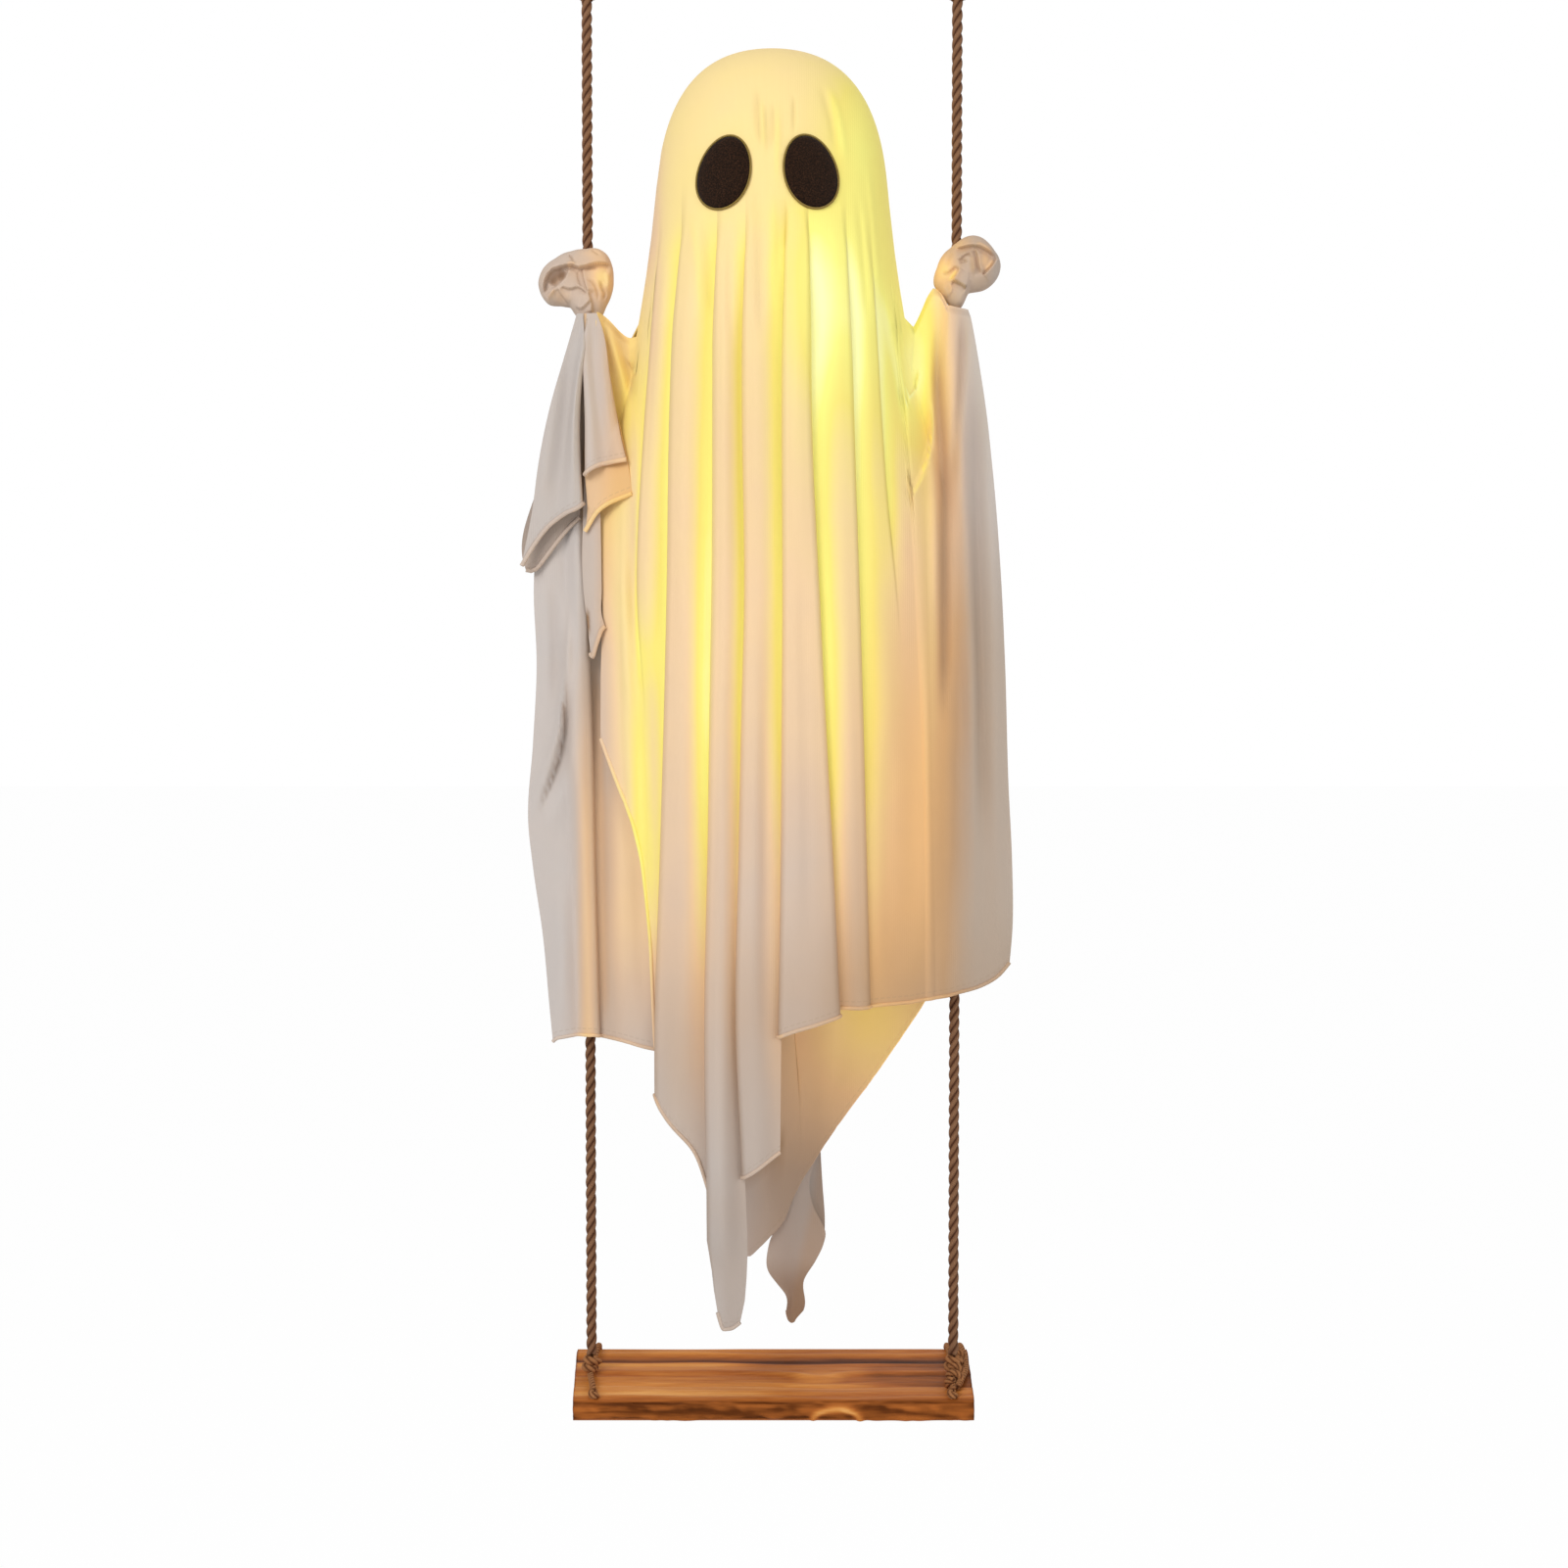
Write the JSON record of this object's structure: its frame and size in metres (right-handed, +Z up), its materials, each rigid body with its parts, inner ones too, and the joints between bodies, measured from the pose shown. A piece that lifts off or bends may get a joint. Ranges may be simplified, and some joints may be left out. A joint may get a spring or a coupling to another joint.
{
  "type": "hanging ghost on a swing",
  "caption": "Light-up sheet ghost with a domed head, hands knotted round the ropes of a hanging wooden swing seat.",
  "frame": {"origin": "middle of the hang axis, the line through the bottoms of the two screw hooks on which the rope eyes turn", "axes": "+Z up, the ghost faces -Y, +X to the right in the front view, along the hang axis"},
  "size_m": [0.3696, 0.1893, 1.1986],
  "materials": {
    "cloth": "soft stretch polyester, warm cream where the lamps shine through, grey-pink at the edges",
    "felt": "dark brown felt",
    "gold_thread": "gold rim thread",
    "rope": "three-strand brown twisted cord",
    "seat_wood": "stained and waxed rough-edged plank",
    "dowel_wood": "plain beech dowel",
    "steel": "zinc plated wire and sheet",
    "clear_plastic": "thin frosted moulding",
    "dark_plastic": "moulded black plastic",
    "switch_plastic": "white slider",
    "lamp": "warm white lamps on a thin lead",
    "cell": "plain printed sleeve with no words"
  },
  "bodies": {
    "hanger": {"screw_hook_left": "steel", "screw_hook_right": "steel", "hook_flange_left": "steel", "hook_flange_right": "steel"},
    "swing": {"rope_eye_left": "rope", "rope_eye_right": "rope", "rope_splice_left": "rope", "rope_splice_right": "rope", "rope_left": "rope", "rope_right": "rope", "hand_knot_left": "cloth", "hand_knot_right": "cloth", "front_sheet": "cloth", "back_sheet": "cloth", "turned_corner_left": "cloth", "eye_left": "felt", "eye_right": "felt", "eye_rim_left": "gold_thread", "eye_rim_right": "gold_thread", "head_form": "clear_plastic", "spine_dowel": "dowel_wood", "shoulder_block": "dark_plastic", "arm_wire_left": "steel", "arm_wire_right": "steel", "lamp_string": "lamp", "battery_case": "dark_plastic", "cell_1": "cell", "cell_2": "cell", "cell_3": "cell", "contact_strip_lower": "steel", "contact_strip_upper": "steel"},
    "seat": {"seat_board": "seat_wood", "seat_knot_left": "rope", "seat_knot_right": "rope", "seat_lashing_left": "rope", "seat_lashing_right": "rope"},
    "cover": {"battery_cover": "dark_plastic"},
    "switch": {"switch_slider": "switch_plastic"}
  },
  "joints": [
    {"name": "swing_hinge", "type": "hinge", "parent": "hanger", "child": "swing", "pos_m": [0, 0, 0], "axis": [1, 0, 0], "range_deg": [-35, 35]},
    {"name": "seat_tilt", "type": "hinge", "parent": "swing", "child": "seat", "pos_m": [0, 0, -1.1092], "axis": [1, 0, 0], "range_deg": [-15, 15]},
    {"name": "cover_slide", "type": "slide", "parent": "swing", "child": "cover", "axis": [0, 0, -1], "range_m": [0, 0.055]},
    {"name": "switch_slide", "type": "slide", "parent": "swing", "child": "switch", "axis": [0, 0, 1], "range_m": [0, 0.004]}
  ]
}
